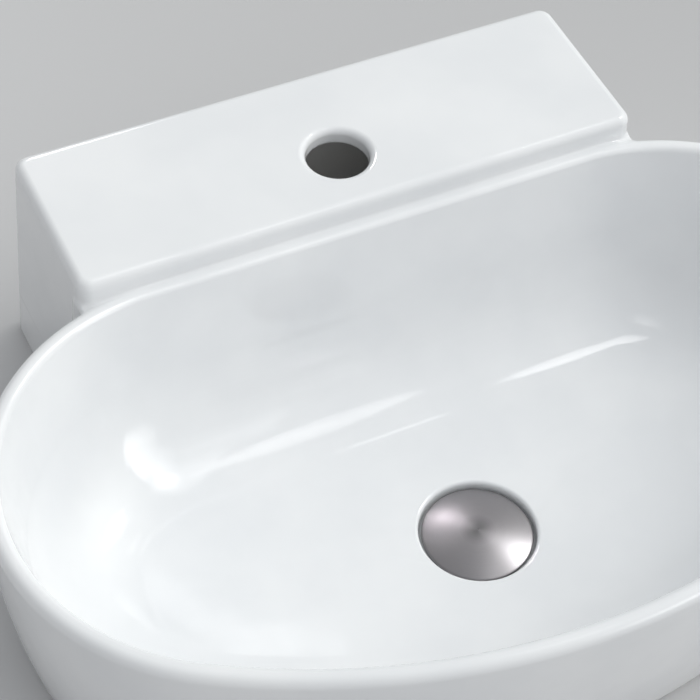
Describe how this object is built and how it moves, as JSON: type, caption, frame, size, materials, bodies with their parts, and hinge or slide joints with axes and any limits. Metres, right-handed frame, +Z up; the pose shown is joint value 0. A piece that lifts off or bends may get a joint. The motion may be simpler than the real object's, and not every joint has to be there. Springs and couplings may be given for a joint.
{
  "type": "countertop basin",
  "caption": "White ceramic countertop basin: long round-ended bowl, raised rear deck with a tap hole, and a push-open waste with a domed metal plug.",
  "frame": {"origin": "where the axis of the waste meets the counter that the basin's foot stands on", "axes": "+X along the bowl's length, to the right as the user faces it; +Y back towards the wall; +Z up"},
  "size_m": [0.5078, 0.3869, 0.192],
  "materials": {
    "glaze": "gloss",
    "steel": "satin",
    "brass": "polished",
    "raw_brass": "satin",
    "rubber": "matte",
    "carrier": "matte",
    "acetal": "satin",
    "spring": "polished"
  },
  "bodies": {
    "basin": {"basin": "glaze", "waste_body": "brass", "backnut": "raw_brass", "flange_gasket": "rubber", "lower_washer": "rubber", "slip_washer": "acetal", "cartridge_housing": "raw_brass", "cartridge_bush": "acetal", "cartridge_spring": "spring"},
    "plug": {"cap_shell": "steel", "cap_carrier": "carrier", "cap_seal": "rubber", "plug_stem": "raw_brass", "stem_locknut": "raw_brass"}
  },
  "joints": [
    {"name": "plug_slide", "type": "slide", "parent": "basin", "child": "plug", "axis": [0, 0, 1], "range_m": [0, 0.0085], "deforming": ["cartridge_spring"]}
  ]
}
